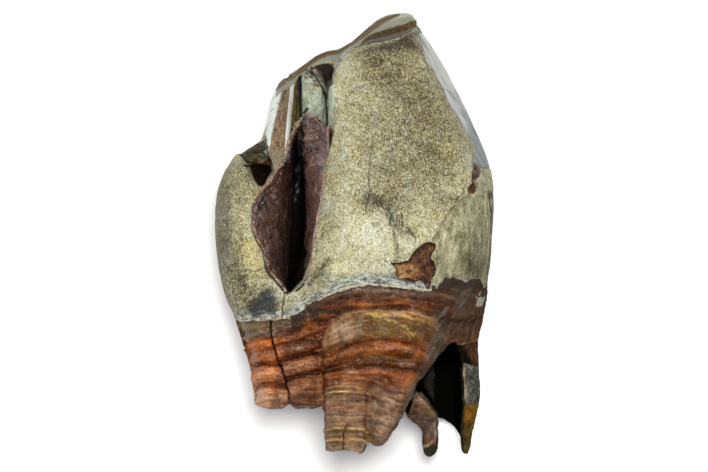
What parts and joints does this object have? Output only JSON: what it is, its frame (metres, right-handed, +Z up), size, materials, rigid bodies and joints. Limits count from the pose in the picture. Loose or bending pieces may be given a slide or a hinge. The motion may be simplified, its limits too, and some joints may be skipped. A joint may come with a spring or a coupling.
{
  "type": "fossil woolly rhinoceros tooth",
  "caption": "Fossil upper cheek tooth of a woolly rhinoceros with worn crown, deep valley between its lobes and broken roots, lying on its cheek side.",
  "frame": {"origin": "on the surface the tooth lies on, under the middle of its bounding box", "axes": "+Y along the tooth from roots to chewing end, +X from its rear to its front, +Z up from the cheek side to the tongue side"},
  "size_m": [0.0504, 0.0816, 0.0448],
  "materials": {
    "fossil_enamel": "matt grained mineral with polished worn edges"
  },
  "bodies": {
    "root": {"tooth": "fossil_enamel"}
  },
  "joints": []
}
